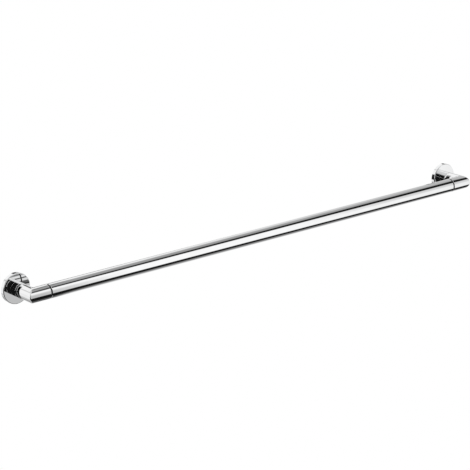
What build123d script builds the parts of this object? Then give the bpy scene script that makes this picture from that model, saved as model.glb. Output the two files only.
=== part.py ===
from build123d import *
import os

# A wall-mounted towel rail: a chromed tube between two mitred elbows, each on a round rosette.
# The wall is the plane y = 0, the room is towards -Y, and the rail runs along X at z = 0.
# The left end is modelled, and the right end is its mirror image.

# Overall sizes, in millimetres
post_spacing = 780.0  # between the axes of the two posts
stand_off = 41.5  # wall to the rail's axis
bar_d = 20.0  # outside of the tube, the elbows and the necks

# Tube, spacer rings and the plugs that join tube and elbow
tube_wall = 1.5
stub_length = 23.0  # post axis to the spacer ring
ring_width = 2.0
ring_recess = 0.25  # the ring lies this far under the chrome
end_chamfer = 0.3  # on the ends of the tube and the stub
connector_d = 12.0
connector_in_elbow = 13.0
connector_in_tube = 22.0
connector_chamfer = 0.8

# Rosette with its neck
rosette_d = 42.0
rosette_depth = 6.0
rosette_wall = 2.5
rosette_face = 1.3  # thickness of the front
rosette_edge = 1.0  # radius round the front
neck_length = 10.0  # front of the rosette to the elbow's foot
neck_floor = 4.5  # solid end of the neck, which the screw clamps
neck_fillet = 0.4  # tool radius at the neck's root
joint_chamfer = 0.7  # on both sides of the joint, so that it shows as a groove

# Wall plate
plate_bore_d = 8.0
groove_lip = 0.4  # least land on each side of the rim's groove
wall_screw_d = 4.6  # clearance hole
wall_screw_head_d = 8.6  # countersink

# Socket-head screw with a spring washer, from behind into the elbow
screw_d = 6.0
screw_head_d = 10.0
screw_head_height = 4.0
screw_key = 4.0  # across flats
screw_key_depth = 2.3
screw_grip = 11.0  # length of thread in the elbow
screw_chamfer = 0.6
washer_d = 9.9
washer_thickness = 1.6
washer_split = 1.0

# Grub screw in the top of the rosette
grub_d = 4.0
grub_from_wall = 2.6
grub_key = 2.0
grub_key_depth = 1.5
grub_tip_d = 0.8
grub_sunk = 0.3  # below the rosette's rim

# Clearances, radial unless said otherwise
slide_clearance = 0.05  # plugs in their sockets, threads in their holes
shank_clearance = 0.25  # screw in the neck, washer on the screw
head_clearance = 0.6  # screw head in the neck
plate_clearance = 0.6  # wall plate in the rosette
plate_gap = 0.5  # wall plate to the rosette's front, along Y
hole_spare = 1.5  # extra depth of a blind hole, along it
drill_tip_ratio = 0.6  # height of a drilled hole's cone over its radius

# Values that follow from those above
bar_r = bar_d / 2
tube_bore_r = bar_r - tube_wall
tube_start = stub_length + ring_width
connector_r = connector_d / 2
rosette_r = rosette_d / 2
cavity_r = rosette_r - rosette_wall
cavity_depth = rosette_depth - rosette_face
foot = rosette_depth + neck_length  # wall to the joint between neck and elbow
screw_r = screw_d / 2
shank_hole_r = screw_r + shank_clearance
head_bore_r = screw_head_d / 2 + head_clearance
neck_seat = foot - neck_floor  # wall to the face under the washer
head_front = neck_seat - washer_thickness
head_back = head_front - screw_head_height
plate_r = cavity_r - plate_clearance
plate_thickness = cavity_depth - plate_gap
groove_depth = min(grub_from_wall, plate_thickness - grub_from_wall) - groove_lip
groove_root_r = plate_r - groove_depth
wall_screw_r = wall_screw_d / 2
wall_screw_head_r = wall_screw_head_d / 2
wall_screw_pitch = plate_bore_d / 2 + groove_root_r  # each hole lies midway between bore and groove
grub_r = grub_d / 2
grub_tip_r = grub_tip_d / 2


def turned(outline, axis):
    # A solid of revolution from its half section, which lies in the XY plane.
    return revolve(make_face(Polyline(*outline, close=True)), axis)


def rims(piece, radius, normal, place):
    # The round edges of one radius whose centres lie at one place along a direction.
    circles = piece.edges().filter_by(GeomType.CIRCLE)
    return [
        edge
        for edge in circles
        if abs(edge.radius - radius) < 1e-4 and abs(edge.arc_center.dot(Vector(*normal)) - place) < 1e-4
    ]


def drilled(radius, depth):
    # A blind hole's shape from z = 0 down to -depth, with the drill's cone below.
    tip = radius * drill_tip_ratio
    outline = [(0, 0), (radius, 0), (radius, -depth), (0, -depth - tip)]
    return Plane.XZ * make_face(Polyline(*outline, close=True))


def hexagon_socket(plane, across_flats, depth):
    return extrude(plane * RegularPolygon(across_flats / 2, 6, major_radius=False), -depth)


def make_rail_tube():
    half = post_spacing / 2 - tube_start
    tube = extrude(Plane.YZ * (Circle(bar_r) - Circle(tube_bore_r)), half, both=True)
    ends = rims(tube, bar_r, (1, 0, 0), half) + rims(tube, bar_r, (1, 0, 0), -half)
    return Pos(0, -stand_off, 0) * chamfer(ends, end_chamfer)


def make_elbow():
    # One round bar turned through a sharp mitre, from the foot on the post to the end of the stub.
    path = Polyline((0, -foot, 0), (0, -stand_off, 0), (stub_length, -stand_off, 0))
    section = Plane(origin=(0, -foot, 0), z_dir=(0, -1, 0)) * Circle(bar_r)
    bar = sweep(section, path=path, transition=Transition.RIGHT)
    bar = chamfer(rims(bar, bar_r, (0, 1, 0), -foot), joint_chamfer)
    bar = chamfer(rims(bar, bar_r, (1, 0, 0), stub_length), end_chamfer)
    thread_hole = revolve(drilled(screw_r + slide_clearance, screw_grip + hole_spare), Axis.Z)
    socket = revolve(drilled(connector_r + slide_clearance, connector_in_elbow + hole_spare), Axis.Z)
    bar -= Plane(origin=(0, -foot, 0), z_dir=(0, 1, 0)) * thread_hole
    bar -= Plane(origin=(stub_length, -stand_off, 0), z_dir=(1, 0, 0)) * socket
    return bar


def make_spacer_ring():
    inner = connector_r + slide_clearance
    outer = bar_r - ring_recess
    outline = [(stub_length, inner), (stub_length, outer), (tube_start, outer), (tube_start, inner)]
    return Pos(0, -stand_off, 0) * turned(outline, Axis.X)


def make_connector():
    start = stub_length - connector_in_elbow
    end = tube_start + connector_in_tube
    plug_r = tube_bore_r - slide_clearance
    outline = [
        (start, 0),
        (start, connector_r - connector_chamfer),
        (start + connector_chamfer, connector_r),
        (tube_start, connector_r),
        (tube_start, plug_r),
        (end - connector_chamfer, plug_r),
        (end, plug_r - connector_chamfer),
        (end, 0),
    ]
    return Pos(0, -stand_off, 0) * turned(outline, Axis.X)


def make_rosette():
    outline = [
        (rosette_r, 0),
        (rosette_r, -rosette_depth),
        (bar_r, -rosette_depth),
        (bar_r, -foot),
        (shank_hole_r, -foot),
        (shank_hole_r, -neck_seat),
        (head_bore_r, -neck_seat),
        (head_bore_r, -cavity_depth),
        (cavity_r, -cavity_depth),
        (cavity_r, 0),
    ]
    cup = turned(outline, Axis.Y)
    cup = fillet(rims(cup, rosette_r, (0, 1, 0), -rosette_depth), rosette_edge)
    cup = fillet(rims(cup, bar_r, (0, 1, 0), -rosette_depth), neck_fillet)
    cup = chamfer(rims(cup, bar_r, (0, 1, 0), -foot), joint_chamfer)
    grub_hole = Cylinder(grub_r + slide_clearance, rosette_wall * 2)
    return cup - Pos(0, -grub_from_wall, (rosette_r + cavity_r) / 2) * grub_hole


def make_wall_plate():
    bore_r = plate_bore_d / 2
    outline = [
        (bore_r, 0),
        (plate_r, 0),
        (plate_r, -(grub_from_wall - groove_depth)),
        (groove_root_r, -grub_from_wall),
        (plate_r, -(grub_from_wall + groove_depth)),
        (plate_r, -plate_thickness),
        (bore_r, -plate_thickness),
    ]
    plate = turned(outline, Axis.Y)
    sink_start = plate_thickness - (wall_screw_head_r - wall_screw_r)
    screw_hole = turned(
        [
            (0, 0),
            (wall_screw_r, 0),
            (wall_screw_r, -sink_start),
            (wall_screw_head_r, -plate_thickness),
            (0, -plate_thickness),
        ],
        Axis.Y,
    )
    for height in (-wall_screw_pitch / 2, wall_screw_pitch / 2):
        plate -= Pos(0, 0, height) * screw_hole
    return plate


def make_elbow_screw():
    head_r = screw_head_d / 2
    tip = foot + screw_grip
    outline = [
        (0, -head_back),
        (head_r - screw_chamfer, -head_back),
        (head_r, -head_back - screw_chamfer),
        (head_r, -head_front),
        (screw_r, -head_front),
        (screw_r, -tip + screw_chamfer),
        (screw_r - screw_chamfer, -tip),
        (0, -tip),
    ]
    key_plane = Plane(origin=(0, -head_back, 0), x_dir=(1, 0, 0), z_dir=(0, 1, 0))
    return turned(outline, Axis.Y) - hexagon_socket(key_plane, screw_key, screw_key_depth)


def make_lock_washer():
    inner = screw_r + shank_clearance
    outer = washer_d / 2
    outline = [(inner, -head_front), (outer, -head_front), (outer, -neck_seat), (inner, -neck_seat)]
    split = Pos(outer / 2, -(head_front + neck_seat) / 2, 0) * Box(outer, washer_thickness * 2, washer_split)
    return turned(outline, Axis.Y) - split


def make_grub_screw():
    # The cone's flank follows the groove's, which falls at 45 degrees too.
    tip = groove_root_r + grub_tip_r + slide_clearance
    cone_end = tip + grub_r - grub_tip_r
    back = rosette_r - grub_sunk
    outline = [(0, tip), (grub_tip_r, tip), (grub_r, cone_end), (grub_r, back), (0, back)]
    screw = revolve(Plane.XZ * make_face(Polyline(*outline, close=True)), Axis.Z)
    screw -= hexagon_socket(Plane(origin=(0, 0, back)), grub_key, grub_key_depth)
    return Pos(0, -grub_from_wall, 0) * screw


end_pieces = {
    "rosette": make_rosette(),
    "wall_plate": make_wall_plate(),
    "grub_screw": make_grub_screw(),
    "elbow": make_elbow(),
    "elbow_screw": make_elbow_screw(),
    "lock_washer": make_lock_washer(),
    "connector": make_connector(),
    "spacer_ring": make_spacer_ring(),
}

os.makedirs("parts", exist_ok=True)
export_step(make_rail_tube(), "parts/rail_tube.step")
for name, piece in end_pieces.items():
    left = Pos(-post_spacing / 2, 0, 0) * piece
    export_step(left, f"parts/left_{name}.step")
    export_step(mirror(left, about=Plane.YZ), f"parts/right_{name}.step")
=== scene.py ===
from math import cos, hypot, pi, radians, sin, sqrt

import bmesh
import bpy
from mathutils import Matrix, Vector


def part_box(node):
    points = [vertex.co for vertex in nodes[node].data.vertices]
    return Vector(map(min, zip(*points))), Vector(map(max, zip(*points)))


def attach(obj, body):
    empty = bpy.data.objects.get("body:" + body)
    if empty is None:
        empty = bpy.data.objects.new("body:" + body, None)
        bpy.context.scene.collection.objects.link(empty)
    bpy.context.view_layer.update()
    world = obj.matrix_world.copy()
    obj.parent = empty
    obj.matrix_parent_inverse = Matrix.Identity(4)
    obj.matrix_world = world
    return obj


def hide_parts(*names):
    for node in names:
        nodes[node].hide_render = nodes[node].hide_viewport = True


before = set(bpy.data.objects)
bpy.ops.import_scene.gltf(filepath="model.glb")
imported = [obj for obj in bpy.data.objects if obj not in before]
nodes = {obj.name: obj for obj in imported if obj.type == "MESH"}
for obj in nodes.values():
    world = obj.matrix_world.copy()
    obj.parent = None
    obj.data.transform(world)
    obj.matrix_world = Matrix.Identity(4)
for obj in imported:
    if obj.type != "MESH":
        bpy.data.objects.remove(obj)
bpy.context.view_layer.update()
print("frame loaded:", len(nodes), "nodes")

# Places that every piece shares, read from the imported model, in metres
mm = 0.001
tubeLow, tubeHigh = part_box("rail_tube")
elbowLow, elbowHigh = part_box("left_elbow")
ringLow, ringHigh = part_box("left_spacer_ring")
rosetteLow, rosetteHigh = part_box("left_rosette")
barRadius = (tubeHigh.y - tubeLow.y) / 2
railY = (tubeHigh.y + tubeLow.y) / 2
postX = (rosetteLow.x + rosetteHigh.x) / 2
stubEnd = ringLow.x
footY = elbowHigh.y


# Helpers for meshes

def turned(outline, axis, centre, steps):
    # outline holds (along, radius) pairs of a closed half section
    bm = bmesh.new()
    along = Vector(axis)
    out = Vector((0, 0, 1))
    verts = [bm.verts.new(Vector(centre) + along * a + out * r) for a, r in outline]
    edges = [bm.edges.new((verts[i - 1], verts[i])) for i in range(len(verts))]
    bmesh.ops.spin(bm, geom=verts + edges, cent=centre, axis=along, angle=2 * pi, steps=steps, use_merge=True)
    bmesh.ops.remove_doubles(bm, verts=bm.verts, dist=0.001 * mm)
    bmesh.ops.recalc_face_normals(bm, faces=bm.faces)
    return bm


def ringAt(bm, axis, centre, along, radius):
    # the edges of one round edge of a turned piece
    axis, centre = Vector(axis), Vector(centre)

    def onRing(v):
        d = v.co - centre
        a = d.dot(axis)
        return abs(a - along) < 0.01 * mm and abs((d - axis * a).length - radius) < 0.01 * mm

    return [e for e in bm.edges if onRing(e.verts[0]) and onRing(e.verts[1])]


def rounded(bm, edges, size, segments):
    bmesh.ops.bevel(
        bm, geom=edges, offset=size, offset_type="OFFSET", affect="EDGES",
        segments=segments, profile=0.5, material=-1, clamp_overlap=True,
    )


def drawnOn(bm, loop, matrix):
    # extrudes a loop of edges and moves the new loop
    made = bmesh.ops.extrude_edge_only(bm, edges=loop)["geom"]
    verts = [g for g in made if isinstance(g, bmesh.types.BMVert)]
    bmesh.ops.transform(bm, matrix=matrix, verts=verts)
    fresh = set(verts)
    return [g for g in made if isinstance(g, bmesh.types.BMEdge) and set(g.verts) <= fresh]


def finished(bm, name, material, node, sharpAngle=32):
    # turns a bmesh into a piece that stands for one CAD node
    for face in bm.faces:
        face.smooth = True
    for edge in bm.edges:
        edge.smooth = len(edge.link_faces) == 2 and edge.calc_face_angle() < radians(sharpAngle)
    mesh = bpy.data.meshes.new(name)
    bm.to_mesh(mesh)
    bm.free()
    piece = bpy.data.objects.new(name, mesh)
    bpy.context.scene.collection.objects.link(piece)
    mesh.materials.append(material)
    even = piece.modifiers.new("evenNormals", "WEIGHTED_NORMAL")
    even.mode = "FACE_AREA"
    even.weight = 100
    even.keep_sharp = True
    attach(piece, "root")
    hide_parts(node)
    return piece


def mirrored(bm):
    # the right end is the left end seen in a mirror on the plane x = 0
    bmesh.ops.scale(bm, vec=(-1, 1, 1), verts=bm.verts)
    bmesh.ops.recalc_face_normals(bm, faces=bm.faces)
    return bm


# Helpers for node trees

def feed(tree, socket, value):
    if isinstance(value, bpy.types.NodeSocket):
        tree.links.new(value, socket)
    else:
        socket.default_value = value


def added(tree, kind, settings=None, **inputs):
    node = tree.nodes.new(kind)
    for key, value in (settings or {}).items():
        setattr(node, key, value)
    for key, value in inputs.items():
        feed(tree, node.inputs[key.replace("_", " ")], value)
    return node


def calc(tree, operation, *values):
    node = added(tree, "ShaderNodeMath", {"operation": operation})
    for socket, value in zip(node.inputs, values):
        feed(tree, socket, value)
    return node.outputs[0]


def eased(tree, value, start, end, low=0.0, high=1.0):
    # a smooth step from low at start to high at end; start may be the larger one
    node = added(
        tree, "ShaderNodeMapRange", {"interpolation_type": "SMOOTHSTEP"},
        Value=value, From_Min=start, From_Max=end, To_Min=low, To_Max=high,
    )
    return node.outputs[0]


def toned(tree, factor, look):
    # a colour between the dark and the light colour of a finish
    mix = added(tree, "ShaderNodeMix", {"data_type": "RGBA"}, Factor=factor)
    mix.inputs[6].default_value = (*look["dark"], 1)
    mix.inputs[7].default_value = (*look["light"], 1)
    return mix.outputs[2]


# Effects that several finishes share

def newGroup(name, inputs, output):
    group = bpy.data.node_groups.new(name, "ShaderNodeTree")
    for label, kind in inputs:
        group.interface.new_socket(label, in_out="INPUT", socket_type="NodeSocket" + kind)
    group.interface.new_socket(output, in_out="OUTPUT", socket_type="NodeSocketFloat")
    given = added(group, "NodeGroupInput").outputs
    result = added(group, "NodeGroupOutput").inputs[output]
    return group, given, result


def cloudGroup():
    # cloudy variation between two values, for smudges, haze and stains
    inputs = [("Vector", "Vector"), ("Scale", "Float"), ("Low", "Float"), ("High", "Float")]
    group, given, result = newGroup("cloudyVariation", inputs, "Value")
    noise = added(
        group, "ShaderNodeTexNoise", None,
        Vector=given["Vector"], Scale=given["Scale"], Detail=5.0, Roughness=0.6,
    )
    value = eased(group, noise.outputs["Fac"], 0.35, 0.68, given["Low"], given["High"])
    group.links.new(value, result)
    return group


def lineGroup():
    # fine tool lines, one for each pitch, a little uneven in depth
    group, given, result = newGroup("toolLines", [("Along", "Float"), ("Pitch", "Float")], "Height")
    turns = calc(group, "DIVIDE", given["Along"], given["Pitch"])
    uneven = added(group, "ShaderNodeTexNoise", {"noise_dimensions": "1D"}, W=turns, Scale=0.37, Detail=2.0)
    wave = calc(group, "SINE", calc(group, "MULTIPLY", turns, 2 * pi))
    group.links.new(calc(group, "MULTIPLY", wave, uneven.outputs["Fac"]), result)
    return group


cloudyVariation = cloudGroup()
toolLines = lineGroup()


def cloud(tree, place, scale, low=0.0, high=1.0):
    settings = {"node_tree": cloudyVariation}
    return added(tree, "ShaderNodeGroup", settings, Vector=place, Scale=scale, Low=low, High=high).outputs[0]


def lines(tree, along, pitch):
    return added(tree, "ShaderNodeGroup", {"node_tree": toolLines}, Along=along, Pitch=pitch).outputs[0]


def bumped(tree, shader, height, distance):
    bump = added(tree, "ShaderNodeBump", None, Height=height, Distance=distance)
    tree.links.new(bump.outputs["Normal"], shader.inputs["Normal"])


def newMaterial(name, metallic):
    material = bpy.data.materials.new(name)
    material.use_nodes = True
    tree = material.node_tree
    tree.nodes.clear()
    shader = added(tree, "ShaderNodeBsdfPrincipled", None, Metallic=metallic)
    tree.links.new(shader.outputs["BSDF"], added(tree, "ShaderNodeOutputMaterial").inputs["Surface"])
    place = added(tree, "ShaderNodeTexCoord").outputs["Object"]
    return material, tree, shader, place


def aboutPost(tree, place):
    # x, y and z as seen from the axis of the nearer post
    x, y, z = added(tree, "ShaderNodeSeparateXYZ", None, Vector=place).outputs
    offset = calc(tree, "MULTIPLY_ADD", calc(tree, "SIGN", x), postX, x)
    return offset, y, z


# Finishes

chromeLook = {
    "dark": (0.835, 0.838, 0.84), "light": (0.865, 0.87, 0.875), "smudgeScale": 42.0,
    "rough": (0.012, 0.04), "hazeScale": 260.0, "waveScale": 90.0, "waveHeight": 0.004 * mm,
}


def makeChrome():
    look = chromeLook
    material, tree, shader, place = newMaterial("polishedChrome", 1.0)
    feed(tree, shader.inputs["Base Color"], toned(tree, cloud(tree, place, look["smudgeScale"]), look))
    feed(tree, shader.inputs["Roughness"], cloud(tree, place, look["hazeScale"], *look["rough"]))
    bumped(tree, shader, cloud(tree, place, look["waveScale"]), look["waveHeight"])
    return material


blackPlasticLook = {
    "dark": (0.004, 0.004, 0.0045), "light": (0.008, 0.008, 0.0085), "toneScale": 240.0, "specular": 0.12,
    "rough": (0.40, 0.55), "roughScale": 500.0, "grainScale": 2600.0, "grainHeight": 0.008 * mm,
}


def makeBlackPlastic():
    look = blackPlasticLook
    material, tree, shader, place = newMaterial("blackPlastic", 0.0)
    shader.inputs["Specular IOR Level"].default_value = look["specular"]
    feed(tree, shader.inputs["Base Color"], toned(tree, cloud(tree, place, look["toneScale"]), look))
    feed(tree, shader.inputs["Roughness"], cloud(tree, place, look["roughScale"], *look["rough"]))
    kind = {"feature": "SMOOTH_F1"}
    grain = added(tree, "ShaderNodeTexVoronoi", kind, Vector=place, Scale=look["grainScale"])
    bumped(tree, shader, grain.outputs["Distance"], look["grainHeight"])
    return material


brassLook = {
    "dark": (0.60, 0.42, 0.17), "light": (0.76, 0.59, 0.30), "toneScale": 160.0,
    "rough": (0.22, 0.36), "roughScale": 700.0, "pitch": 0.22 * mm, "lineHeight": 0.006 * mm,
}


def makeBrass():
    look = brassLook
    material, tree, shader, place = newMaterial("bareBrass", 1.0)
    x, y, z = added(tree, "ShaderNodeSeparateXYZ", None, Vector=place).outputs
    feed(tree, shader.inputs["Base Color"], toned(tree, cloud(tree, place, look["toneScale"]), look))
    feed(tree, shader.inputs["Roughness"], cloud(tree, place, look["roughScale"], *look["rough"]))
    bumped(tree, shader, lines(tree, x, look["pitch"]), look["lineHeight"])
    return material


turnedSteelLook = {
    "dark": (0.50, 0.50, 0.49), "light": (0.66, 0.66, 0.65), "toneScale": 130.0,
    "rough": (0.24, 0.38), "roughScale": 600.0, "pitch": 0.28 * mm, "lineHeight": 0.006 * mm,
}


def makeTurnedSteel():
    look = turnedSteelLook
    material, tree, shader, place = newMaterial("turnedSteel", 1.0)
    x, y, z = aboutPost(tree, place)
    radius = calc(tree, "SQRT", calc(tree, "MULTIPLY_ADD", x, x, calc(tree, "MULTIPLY", z, z)))
    feed(tree, shader.inputs["Base Color"], toned(tree, cloud(tree, place, look["toneScale"]), look))
    feed(tree, shader.inputs["Roughness"], cloud(tree, place, look["roughScale"], *look["rough"]))
    bumped(tree, shader, lines(tree, calc(tree, "ADD", radius, y), look["pitch"]), look["lineHeight"])
    return material


screwSteelLook = {
    "dark": (0.40, 0.40, 0.40), "light": (0.58, 0.58, 0.57), "toneScale": 220.0,
    "rough": (0.26, 0.42), "roughScale": 900.0,
    "threadPitch": 1.0 * mm, "threadHeight": 0.3 * mm, "threadFrom": -11.5 * mm,
}


def makeScrewSteel():
    look = screwSteelLook
    material, tree, shader, place = newMaterial("screwSteel", 1.0)
    x, y, z = aboutPost(tree, place)
    feed(tree, shader.inputs["Base Color"], toned(tree, cloud(tree, place, look["toneScale"]), look))
    feed(tree, shader.inputs["Roughness"], cloud(tree, place, look["roughScale"], *look["rough"]))
    # the thread winds round the post's axis, from the neck's seat to the tip
    turn = calc(tree, "ARCTAN2", z, x)
    wound = calc(tree, "SINE", calc(tree, "MULTIPLY_ADD", y, 2 * pi / look["threadPitch"], turn))
    threaded = calc(tree, "LESS_THAN", y, look["threadFrom"])
    bumped(tree, shader, calc(tree, "MULTIPLY", wound, threaded), look["threadHeight"])
    return material


blackSteelLook = {
    "dark": (0.010, 0.010, 0.011), "light": (0.034, 0.033, 0.033), "toneScale": 900.0,
    "rough": (0.34, 0.52), "roughScale": 1500.0, "grainScale": 2500.0, "grainHeight": 0.004 * mm,
}


def makeBlackSteel():
    look = blackSteelLook
    material, tree, shader, place = newMaterial("blackSteel", 1.0)
    feed(tree, shader.inputs["Base Color"], toned(tree, cloud(tree, place, look["toneScale"]), look))
    feed(tree, shader.inputs["Roughness"], cloud(tree, place, look["roughScale"], *look["rough"]))
    bumped(tree, shader, cloud(tree, place, look["grainScale"]), look["grainHeight"])
    return material


chrome = makeChrome()
blackPlastic = makeBlackPlastic()
screwSteel = makeScrewSteel()

# the pieces that keep their CAD shape
keptFinishes = {
    "connector": makeBrass(), "wall_plate": makeTurnedSteel(), "elbow_screw": screwSteel,
    "lock_washer": screwSteel, "grub_screw": makeBlackSteel(),
}
for side in ("left_", "right_"):
    for node, material in keptFinishes.items():
        for slot in nodes[side + node].material_slots:
            slot.material = material
print("finishes made")


# Rail tube

tubeShape = {"wall": 1.5 * mm, "chamfer": 0.3 * mm, "steps": 160}


def makeTube():
    half = tubeHigh.x
    bore = barRadius - tubeShape["wall"]
    c = tubeShape["chamfer"]
    outline = [
        (-half, bore), (-half, barRadius - c), (-half + c, barRadius),
        (half - c, barRadius), (half, barRadius - c), (half, bore),
    ]
    bm = turned(outline, (1, 0, 0), (0, railY, 0), tubeShape["steps"])
    return finished(bm, "railTube", chrome, "rail_tube")


makeTube()
print("tube made")


# Elbows: one bar turned through a mitre with a polished edge, with a drilled hole in each end

elbowShape = {
    "footRound": 0.7 * mm, "stubRound": 0.3 * mm, "mitreRound": 1.1 * mm, "steps": 160,
    "threadRadius": 3.05 * mm, "threadDepth": 12.5 * mm,
    "socketRadius": 6.05 * mm, "socketDepth": 14.5 * mm, "drillTip": 0.6,
}


def boredEnd(bm, loop, centre, inward, spread, holeRadius, holeDepth):
    # flat face, blind hole and the drill's cone, from the outside to the middle
    centre, inward = Vector(centre), Vector(inward)

    def sized(factor, travel):
        shift = Matrix.Translation(centre + inward * travel)
        return shift @ Matrix.Diagonal((*spread(factor), 1)) @ Matrix.Translation(-centre)

    loop = drawnOn(bm, loop, sized(holeRadius / barRadius, 0))
    loop = drawnOn(bm, loop, sized(1, holeDepth))
    drawnOn(bm, loop, sized(0, holeRadius * elbowShape["drillTip"]))


def makeElbow(side):
    s = elbowShape
    bm = bmesh.new()
    footCentre, stubCentre = Vector((postX, footY, 0)), Vector((stubEnd, railY, 0))
    start = Matrix.Translation(footCentre) @ Matrix.Rotation(pi / 2, 4, "X")
    made = bmesh.ops.create_circle(bm, cap_ends=False, radius=barRadius, segments=s["steps"], matrix=start)
    foot = list({e for v in made["verts"] for e in v.link_edges})
    slide = railY - footY - postX
    mitre = drawnOn(bm, foot, Matrix(((1, 0, 0, 0), (1, 1, 0, slide), (0, 0, 1, 0), (0, 0, 0, 1))))
    stub = drawnOn(bm, mitre, Matrix(((0, 0, 0, stubEnd), (0, 1, 0, 0), (0, 0, 1, 0), (0, 0, 0, 1))))
    boredEnd(bm, foot, footCentre, (0, -1, 0), lambda f: (f, 1, f), s["threadRadius"], s["threadDepth"])
    boredEnd(bm, stub, stubCentre, (-1, 0, 0), lambda f: (1, f, f), s["socketRadius"], s["socketDepth"])
    bmesh.ops.remove_doubles(bm, verts=bm.verts, dist=0.001 * mm)
    bmesh.ops.recalc_face_normals(bm, faces=bm.faces)
    plane = Vector((1, -1, 0))
    corner = Vector((postX, railY, 0))

    def onMitre(v):
        d = v.co - corner
        return abs(d.dot(plane)) < 0.002 * mm and hypot(d.x, d.z) > 0.9 * barRadius

    rounded(bm, [e for e in bm.edges if onMitre(e.verts[0]) and onMitre(e.verts[1])], s["mitreRound"], 6)
    rounded(bm, ringAt(bm, (0, 1, 0), footCentre, 0, barRadius), s["footRound"], 6)
    rounded(bm, ringAt(bm, (1, 0, 0), stubCentre, 0, barRadius), s["stubRound"], 4)
    if side == "right":
        mirrored(bm)
    return finished(bm, side + "Elbow", chrome, side + "_elbow")


# Rosettes: a turned cup with its neck, and a hole for the set screw through the top of the rim

rosetteShape = {
    "depth": 6 * mm, "wall": 2.5 * mm, "face": 1.3 * mm, "steps": 192,
    "edgeRound": 1.0 * mm, "neckRound": 0.1 * mm, "neckEndRound": 0.35 * mm,
    "neckFloor": 4.5 * mm, "shankHole": 3.25 * mm, "headBore": 5.6 * mm,
    "screwHole": 2.05 * mm, "screwFromWall": 2.6 * mm, "holeSteps": 32, "patch": 2.25 * mm,
}


def openedPatch(bm, radius, half):
    # cuts a square out of the rim's cylinder round the hole and leaves a round opening in it
    s = rosetteShape
    y = -s["screwFromWall"]

    def onRim(face):
        middle = face.calc_center_median()
        flat = hypot(middle.x - postX, middle.z)
        return middle.z > 0 and abs(middle.x - postX) < 4 * mm and abs(flat - radius) < 0.1 * mm

    cuts = [((0, y + half, 0), (0, 1, 0)), ((0, y - half, 0), (0, 1, 0))]
    cuts += [((postX + k * s["patch"], 0, 0), (1, 0, 0)) for k in (-1, 1)]
    for place, normal in cuts:
        faces = [f for f in bm.faces if onRim(f)]
        edges = {e for f in faces for e in f.edges}
        verts = {v for f in faces for v in f.verts}
        bmesh.ops.bisect_plane(
            bm, geom=faces + list(edges) + list(verts), dist=0.0005 * mm, plane_co=place, plane_no=normal,
        )
    inside = []
    for f in bm.faces:
        middle = f.calc_center_median()
        if onRim(f) and abs(middle.x - postX) < s["patch"] and abs(middle.y - y) < half:
            inside.append(f)
    border = {e for f in inside for e in f.edges if sum(g in inside for g in e.link_faces) == 1}
    bmesh.ops.delete(bm, geom=inside, context="FACES")
    place = Matrix.Translation((postX, y, 0))
    made = bmesh.ops.create_circle(
        bm, cap_ends=False, radius=s["screwHole"], segments=s["holeSteps"], matrix=place,
    )
    for v in made["verts"]:
        v.co.z = sqrt(radius ** 2 - (v.co.x - postX) ** 2)
    hole = list({e for v in made["verts"] for e in v.link_edges})
    bmesh.ops.bridge_loops(bm, edges=[e for e in border if e.is_valid] + hole)
    return hole


def makeRosette(side):
    s = rosetteShape
    rim = -rosetteLow.z
    cavity = rim - s["wall"]
    cavityDepth = s["depth"] - s["face"]
    foot = -footY
    seat = foot - s["neckFloor"]
    outline = [
        (0, rim), (s["depth"], rim), (s["depth"], barRadius), (foot, barRadius), (foot, s["shankHole"]),
        (seat, s["shankHole"]), (seat, s["headBore"]), (cavityDepth, s["headBore"]),
        (cavityDepth, cavity), (0, cavity),
    ]
    axis, centre = (0, -1, 0), (postX, 0, 0)
    bm = turned(outline, axis, centre, s["steps"])
    rounded(bm, ringAt(bm, axis, centre, s["depth"], rim), s["edgeRound"], 8)
    rounded(bm, ringAt(bm, axis, centre, s["depth"], barRadius), s["neckRound"], 3)
    rounded(bm, ringAt(bm, axis, centre, foot, barRadius), s["neckEndRound"], 5)
    outer = openedPatch(bm, rim, s["patch"])
    inner = openedPatch(bm, cavity, cavityDepth - s["screwFromWall"])
    bmesh.ops.bridge_loops(bm, edges=outer + inner)
    bmesh.ops.recalc_face_normals(bm, faces=bm.faces)
    if side == "right":
        mirrored(bm)
    return finished(bm, side + "Rosette", chrome, side + "_rosette")


# Spacer rings

ringShape = {"round": 0.15 * mm, "steps": 160}


def makeRing(side):
    outer = (ringHigh.z - ringLow.z) / 2
    inner = elbowShape["socketRadius"]
    width = ringHigh.x - ringLow.x
    outline = [(0, inner), (0, outer), (width, outer), (width, inner)]
    axis, centre = (1, 0, 0), (ringLow.x, railY, 0)
    bm = turned(outline, axis, centre, ringShape["steps"])
    edges = ringAt(bm, axis, centre, 0, outer) + ringAt(bm, axis, centre, width, outer)
    rounded(bm, edges, ringShape["round"], 3)
    if side == "right":
        mirrored(bm)
    return finished(bm, side + "SpacerRing", blackPlastic, side + "_spacer_ring")


for side in ("left", "right"):
    makeElbow(side)
    makeRosette(side)
    makeRing(side)
print("elbows, rosettes and rings made")


# Studio: a large soft box to the front right, a panel overhead, white behind, a dark room elsewhere.
# Angles are in degrees round the rail: 0 is straight out into the room, 90 is up, 180 is the wall.
# A pair is the start and the end of a soft edge. Side values are a direction's part along the rail.

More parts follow.
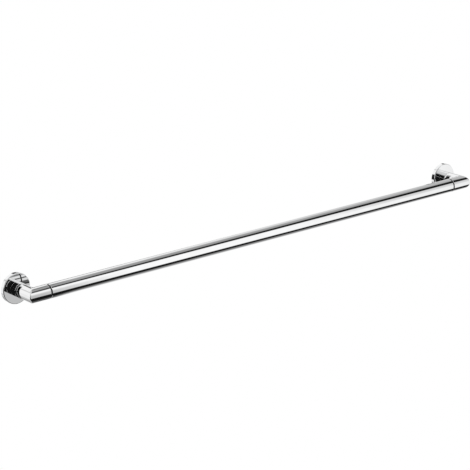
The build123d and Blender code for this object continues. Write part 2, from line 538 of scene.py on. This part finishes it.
studio = {
    "dark": 0.008,
    "split": 20,  # the angle where the lower room ends and the upper room starts
    "farPower": 3.0,  # the larger, the nearer to the right end a level changes
    "leastDepth": 0.05,  # keeps the card and the join from running on to the sides
    "ends": (0.535, 0.69),  # side values that the rail shows at its left and right end
    "disc": (0.538, 0.527),  # below these, mostly the posts and the left disc mirror the room
    "box": {
        "level": 1.12, "farLevel": 1.0, "side": (0.2, 0.385),
        "low": (-32, -23), "lowTurn": 27, "lowPower": 1.6, "high": (57, 47), "highTurn": 5,
    },
    "boxDim": {"amount": 0.47, "side": (0.565, 0.52), "inner": (0.3, 0.5), "angle": (42, 0)},
    "boxFade": {"amount": 0.25, "side": (0.62, 0.67), "angle": (0, 25)},
    "ceiling": {
        "level": 0.38, "farLevel": 0.56, "edge": (63, 83), "turn": -16,
        "dip": 0.24, "dipAt": 112, "dipHalf": 20, "dipSide": (0.44, 0.5),
    },
    "panel": {"level": 0.85, "front": (37.5, 46), "back": (125, 95), "side": (0.54, 0.42)},
    "floor": {
        "level": 0.33, "edge": (-58, -90), "turn": 30, "turnPower": 4.0, "discTurn": 14,
        "side": (0.515, 0.56), "under": 0.12,
    },
    "floorLeft": {
        "level": 0.5, "edge": (-58, -75), "end": (-137, -125), "side": (0.5, 0.42), "leftEnd": (-0.9, -0.8),
    },
    "floorBack": {"level": 0.9, "edge": (-90, -122), "turn": 15},
    "behind": {
        "level": 0.68, "edge": (108, 136), "fadePower": 1.4, "lowLevel": 0.98, "lowEdge": (-138, -150),
    },
    "card": {
        "dark": 0.9, "at": 0.6, "lean": 0.3, "height": 0.35, "half": (0.12, 0.05),
        "low": (0.0, 0.09), "high": (0.75, 0.6), "depth": (0.15, 0.25),
    },
    "join": {"at": -0.46, "half": 0.12, "depth": (0.3, 0.5), "amount": 0.4},
    "leftDark": {
        "amount": 0.98, "side": (-0.66, -0.7), "end": (-0.78, -0.75), "lowBack": (-105, -118),
        "gapAt": 82, "gapHalf": 22,
    },
    "frontLight": (0.96, 0.985),
}


def seenAs(tree, lighting, picture):
    # lights the scene with one shader and shows the other to the camera
    mix = added(tree, "ShaderNodeMixShader")
    tree.links.new(added(tree, "ShaderNodeLightPath").outputs["Is Camera Ray"], mix.inputs[0])
    tree.links.new(lighting.outputs[0], mix.inputs[1])
    tree.links.new(picture.outputs[0], mix.inputs[2])
    return mix


def makeStudio():
    s = studio
    world = bpy.data.worlds.new("studio")
    bpy.context.scene.world = world
    world.use_nodes = True
    tree = world.node_tree
    tree.nodes.clear()
    place = added(tree, "ShaderNodeTexCoord").outputs["Generated"]
    x, y, z = added(tree, "ShaderNodeSeparateXYZ", None, Vector=place).outputs

    def step(value, pair, low=0.0, high=1.0):
        return eased(tree, value, *pair, low, high)

    def times(first, *others):
        for other in others:
            first = calc(tree, "MULTIPLY", first, other)
        return first

    def plus(first, *others):
        for other in others:
            first = calc(tree, "ADD", first, other)
        return first

    def hump(value, middle, half):
        return times(step(value, (middle - half, middle)), step(value, (middle + half, middle)))

    def over(base, level, mask):
        # lays a level over what is there, where the mask is 1
        return calc(tree, "MULTIPLY_ADD", calc(tree, "SUBTRACT", level, base), mask, base)

    front = times(y, -1.0)
    angle = calc(tree, "DEGREES", calc(tree, "ARCTAN2", z, front))
    end = added(
        tree, "ShaderNodeMapRange", {"interpolation_type": "LINEAR"},
        Value=x, From_Min=s["ends"][0], From_Max=s["ends"][1],
    ).outputs[0]
    disc = step(x, s["disc"])

    def flipped(value):
        return calc(tree, "SUBTRACT", 1.0, value)

    def leaning(turn, power=1.0):
        # the angle, turned by more towards the rail's right end
        return calc(tree, "MULTIPLY_ADD", calc(tree, "POWER", end, power), turn, angle)

    def towardsFar(pair):
        # a level that changes mostly near the rail's right end
        near, far = pair["level"], pair["farLevel"]
        return calc(tree, "MULTIPLY_ADD", calc(tree, "POWER", end, s["farPower"]), far - near, near)

    # the room itself
    ceiling, behind, floor = s["ceiling"], s["behind"], s["floor"]
    floorLeft, floorBack = s["floorLeft"], s["floorBack"]
    ceilingGlow = step(leaning(ceiling["turn"]), ceiling["edge"], s["dark"], towardsFar(ceiling))
    nearPart = flipped(calc(tree, "POWER", end, behind["fadePower"]))
    behindGlow = times(step(angle, behind["edge"]), nearPart, behind["level"])
    dip = times(hump(angle, ceiling["dipAt"], ceiling["dipHalf"]), disc)
    dip = times(dip, step(x, ceiling["dipSide"]), -ceiling["dip"])
    upper = plus(ceilingGlow, behindGlow, dip)
    floorAngle = plus(leaning(floor["turn"], floor["turnPower"]), times(disc, floor["discTurn"]))
    floorGlow = times(step(floorAngle, floor["edge"]), step(x, floor["side"], floor["under"], floor["level"]))
    leftGlow = times(step(angle, floorLeft["edge"]), step(angle, floorLeft["end"]))
    leftGlow = times(leftGlow, step(x, floorLeft["side"]), floorLeft["level"], step(x, floorLeft["leftEnd"]))
    lower = plus(floorGlow, leftGlow, s["dark"])
    backMask = times(step(leaning(floorBack["turn"]), floorBack["edge"]), flipped(disc))
    lower = over(lower, floorBack["level"], backMask)
    lower = over(lower, behind["lowLevel"], step(angle, behind["lowEdge"]))
    room = over(lower, upper, calc(tree, "GREATER_THAN", angle, s["split"]))

    # the lights in it
    panel, box, boxDim, boxFade = s["panel"], s["box"], s["boxDim"], s["boxFade"]
    panelMask = times(step(angle, panel["front"]), step(angle, panel["back"]), step(x, panel["side"]))
    room = over(room, panel["level"], panelMask)
    boxLow = step(leaning(box["lowTurn"], box["lowPower"]), box["low"])
    boxHigh = step(leaning(box["highTurn"]), box["high"])
    boxMask = times(boxLow, boxHigh, step(x, box["side"]))
    dim = times(step(x, boxDim["side"]), step(x, boxDim["inner"]))
    dim = times(dim, step(angle, boxDim["angle"]), -boxDim["amount"])
    fade = times(step(x, boxFade["side"]), step(angle, boxFade["angle"]), -boxFade["amount"])
    room = over(room, times(plus(dim, 1.0), plus(fade, 1.0), towardsFar(box)), boxMask)
    room = over(room, 1.0, step(front, s["frontLight"]))

    # dark places: a card and a join behind the rail, and a strip on the left with a gap overhead
    card, join, strip = s["card"], s["join"], s["leftDark"]
    depth = calc(tree, "MAXIMUM", y, s["leastDepth"])
    across = calc(tree, "DIVIDE", x, depth)
    height = calc(tree, "DIVIDE", z, depth)
    lean = calc(tree, "MULTIPLY_ADD", plus(height, -card["height"]), card["lean"], plus(across, -card["at"]))
    cardMask = times(step(calc(tree, "ABSOLUTE", lean), card["half"]), step(height, card["low"]))
    cardMask = times(cardMask, step(height, card["high"]), step(y, card["depth"]), -card["dark"])
    joinMask = times(hump(across, join["at"], join["half"]), step(y, join["depth"]), -join["amount"])
    gap = hump(angle, strip["gapAt"], strip["gapHalf"])
    reach = calc(tree, "MAXIMUM", step(x, strip["end"]), step(angle, strip["lowBack"]))
    stripMask = times(step(x, strip["side"]), reach, flipped(gap), -strip["amount"])
    room = times(room, plus(cardMask, 1.0), plus(joinMask, 1.0), plus(stripMask, 1.0))

    lit = added(tree, "ShaderNodeBackground", None, Color=room, Strength=1.0)
    plain = added(tree, "ShaderNodeBackground", None, Color=(1, 1, 1, 1), Strength=1.0)
    mix = seenAs(tree, lit, plain)
    tree.links.new(mix.outputs[0], added(tree, "ShaderNodeOutputWorld").inputs["Surface"])


# Painted shadow: dark rings on the wall plane that stand in for the wall's shadow round each rosette; they
# show only as mirror images near the foot of each post

wallShade = {
    "left": {"axis": postX, "inner": 25.2 * mm, "outer": 29.5 * mm, "fade": (-14 * mm, 0)},
    "right": {"axis": -postX, "inner": 29.4 * mm, "outer": 37.5 * mm, "fade": (-27 * mm, 2 * mm)},
    "steps": 96,
}


def makeWallShade(side):
    s = wallShade[side]
    middle = Matrix.Translation((s["axis"], 0, 0))
    bm = bmesh.new()
    facing = middle @ Matrix.Rotation(pi / 2, 4, "X")
    made = bmesh.ops.create_circle(
        bm, cap_ends=False, radius=s["inner"], segments=wallShade["steps"], matrix=facing,
    )
    loop = list({e for v in made["verts"] for e in v.link_edges})
    wider = s["outer"] / s["inner"]
    drawnOn(bm, loop, middle @ Matrix.Diagonal((wider, 1, wider, 1)) @ middle.inverted())
    mesh = bpy.data.meshes.new(side + "WallShade")
    bm.to_mesh(mesh)
    bm.free()
    shade = bpy.data.objects.new(side + "WallShade", mesh)
    bpy.context.scene.collection.objects.link(shade)
    material = bpy.data.materials.new(side + "WallShade")
    material.use_nodes = True
    tree = material.node_tree
    tree.nodes.clear()
    place = added(tree, "ShaderNodeTexCoord").outputs["Object"]
    x = added(tree, "ShaderNodeSeparateXYZ", None, Vector=place).outputs[0]
    # painted shadow: fully dark on the rosette's left, fading to clear towards its right
    dark = eased(tree, calc(tree, "SUBTRACT", x, s["axis"]), *s["fade"], 1.0, 0.0)
    mix = added(tree, "ShaderNodeMixShader", None, Fac=dark)
    tree.links.new(added(tree, "ShaderNodeBsdfTransparent").outputs[0], mix.inputs[1])
    tree.links.new(added(tree, "ShaderNodeEmission", None, Strength=0.0).outputs[0], mix.inputs[2])
    tree.links.new(mix.outputs[0], added(tree, "ShaderNodeOutputMaterial").inputs["Surface"])
    mesh.materials.append(material)
    shade.visible_camera = False
    shade.visible_diffuse = False
    shade.visible_shadow = False


lampPlaces = {
    "key": {"at": (0.7, -1.8, 1.1), "size": 1.4, "power": 26.0},
    "fill": {"at": (-0.9, -1.3, -0.6), "size": 1.0, "power": 9.0},
}


def makeLamps():
    for name, p in lampPlaces.items():
        data = bpy.data.lights.new(name, "AREA")
        data.energy, data.size = p["power"], p["size"]
        lamp = bpy.data.objects.new(name, data)
        bpy.context.scene.collection.objects.link(lamp)
        lamp.location = p["at"]
        lamp.rotation_euler = (-Vector(p["at"])).to_track_quat("-Z", "Y").to_euler()
        lamp.visible_glossy = False  # metal shows the studio's own lights


floorPlace = {"height": -0.9, "size": 9.0, "colour": (0.86, 0.86, 0.86)}


def makeFloor():
    bm = bmesh.new()
    place = Matrix.Translation((0, 0, floorPlace["height"]))
    bmesh.ops.create_grid(bm, x_segments=1, y_segments=1, size=floorPlace["size"], matrix=place)
    mesh = bpy.data.meshes.new("floor")
    bm.to_mesh(mesh)
    bm.free()
    floor = bpy.data.objects.new("floor", mesh)
    bpy.context.scene.collection.objects.link(floor)
    material = bpy.data.materials.new("paleFloor")
    material.use_nodes = True
    tree = material.node_tree
    tree.nodes.clear()
    diffuse = added(tree, "ShaderNodeBsdfDiffuse", None, Color=(*floorPlace["colour"], 1))
    white = added(tree, "ShaderNodeEmission", None, Color=(1, 1, 1, 1), Strength=1.0)
    # clear from below, so that it hides nothing in a low view
    sided = added(tree, "ShaderNodeMixShader")
    tree.links.new(added(tree, "ShaderNodeNewGeometry").outputs["Backfacing"], sided.inputs[0])
    tree.links.new(white.outputs[0], sided.inputs[1])
    tree.links.new(added(tree, "ShaderNodeBsdfTransparent").outputs[0], sided.inputs[2])
    mix = seenAs(tree, diffuse, sided)
    tree.links.new(mix.outputs[0], added(tree, "ShaderNodeOutputMaterial").inputs["Surface"])
    mesh.materials.append(material)
    floor.visible_glossy = False


cameraPlace = {
    "location": (-1.838, -2.2358, 0.9050), "yaw": 39.154, "pitch": 17.551, "roll": -0.853,
    "lens": 164.15, "sensor": 36.0,
}


def makeCamera():
    c = cameraPlace
    yaw, pitch, roll = (radians(c[k]) for k in ("yaw", "pitch", "roll"))
    ahead = Vector((sin(yaw) * cos(pitch), cos(yaw) * cos(pitch), -sin(pitch)))
    right = Vector((cos(yaw), -sin(yaw), 0))
    up = right.cross(ahead)
    tiltedRight = cos(roll) * right + sin(roll) * up
    tiltedUp = cos(roll) * up - sin(roll) * right
    data = bpy.data.cameras.new("camera")
    data.lens, data.sensor_width = c["lens"], c["sensor"]
    camera = bpy.data.objects.new("camera", data)
    bpy.context.scene.collection.objects.link(camera)
    turn = Matrix((tiltedRight, tiltedUp, -ahead)).transposed().to_4x4()
    camera.matrix_world = Matrix.Translation(c["location"]) @ turn
    bpy.context.scene.camera = camera


makeStudio()
makeWallShade("left")
makeWallShade("right")
makeLamps()
makeFloor()
makeCamera()
bpy.context.scene.view_settings.view_transform = "Standard"
print("studio made")
